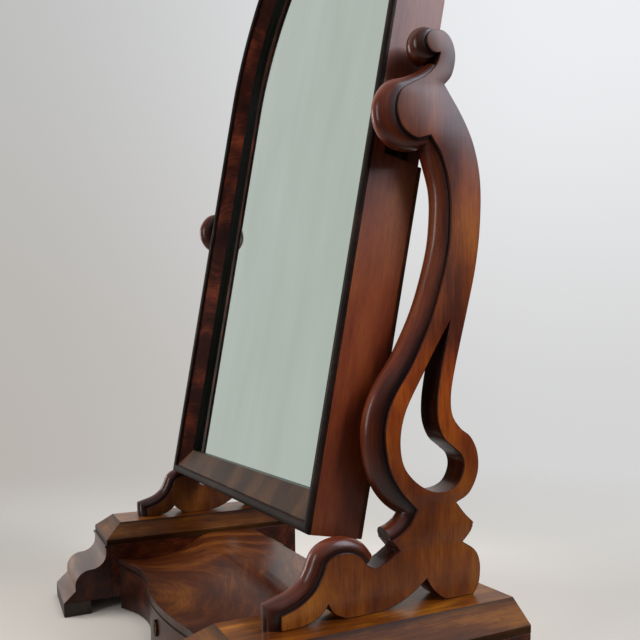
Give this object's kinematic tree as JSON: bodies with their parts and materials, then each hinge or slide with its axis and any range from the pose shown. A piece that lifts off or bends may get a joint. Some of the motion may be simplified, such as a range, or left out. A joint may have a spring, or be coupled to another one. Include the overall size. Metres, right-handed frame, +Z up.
{
  "type": "dressing table mirror",
  "caption": "Arched box-framed toilet mirror swinging between scrolled supports on a plinth base with a serpentine lidded compartment.",
  "frame": {"origin": "on the table under the middle of the whole, with the glass tilted back as it stands", "axes": "+X to the viewer's right, +Y to the back, away from the viewer, +Z up"},
  "size_m": [0.592, 0.3468, 0.9148],
  "materials": {
    "plinth_veneer": "French-polished flame mahogany veneer",
    "cap_mahogany": "French-polished mahogany",
    "strip_mahogany": "polished dark mahogany",
    "bracket_mahogany": "French-polished mahogany veneer",
    "foot_dark": "dark stained mahogany",
    "box_front_veneer": "French-polished flame mahogany veneer",
    "lid_veneer": "French-polished flame mahogany veneer",
    "support_mahogany": "French-polished mahogany",
    "nosing_mahogany": "French-polished dark mahogany",
    "frame_mahogany": "French-polished mahogany",
    "ebonised_bead": "ebonised and polished",
    "brace_wood": "stained wood, thin finish",
    "pine": "planed pine, aged",
    "mirror_glass": "silvered plate",
    "brass": "aged brass",
    "leather": "dark leather"
  },
  "bodies": {
    "base": {"left_plinth": "plinth_veneer", "right_plinth": "plinth_veneer", "left_cap": "cap_mahogany", "right_cap": "cap_mahogany", "left_strip": "strip_mahogany", "right_strip": "strip_mahogany", "left_bracket": "bracket_mahogany", "right_bracket": "bracket_mahogany", "left_front_foot": "foot_dark", "right_front_foot": "foot_dark", "left_rear_foot": "foot_dark", "right_rear_foot": "foot_dark", "box_front": "box_front_veneer", "left_support": "support_mahogany", "right_support": "support_mahogany", "left_nosing": "nosing_mahogany", "right_nosing": "nosing_mahogany", "left_plinth_floor": "pine", "right_plinth_floor": "pine", "box_back": "pine", "box_floor": "pine", "left_dowels": "pine", "right_dowels": "pine", "escutcheon": "brass", "lock_case": "brass", "left_hinge_leaf": "brass", "right_hinge_leaf": "brass", "left_hinge_pin": "brass", "right_hinge_pin": "brass", "left_bush": "brass", "right_bush": "brass"},
    "mirror": {"bottom_rail": "frame_mahogany", "left_stile": "frame_mahogany", "right_stile": "frame_mahogany", "arch": "frame_mahogany", "bottom_bead": "ebonised_bead", "left_bead": "ebonised_bead", "right_bead": "ebonised_bead", "arch_bead": "ebonised_bead", "glass": "mirror_glass", "left_low_block": "pine", "right_low_block": "pine", "left_high_block": "pine", "right_high_block": "pine", "back_panel": "pine", "brace_board": "brace_wood", "brace_screws": "brass", "panel_screws": "brass", "left_pivot": "brass", "right_pivot": "brass", "left_washer": "leather", "right_washer": "leather"},
    "lid": {"lid": "lid_veneer", "lid_bead": "ebonised_bead", "left_lid_leaf": "brass", "right_lid_leaf": "brass"}
  },
  "joints": [
    {"name": "mirror_tilt", "type": "hinge", "parent": "base", "child": "mirror", "pos_m": [0, 0.07445, 0.5225], "axis": [1, 0, 0], "range_deg": [-24, 31]},
    {"name": "lid_hinge", "type": "hinge", "parent": "base", "child": "lid", "pos_m": [0, 0.08872, 0.083], "axis": [-1, 0, 0], "range_deg": [0, 38]}
  ]
}
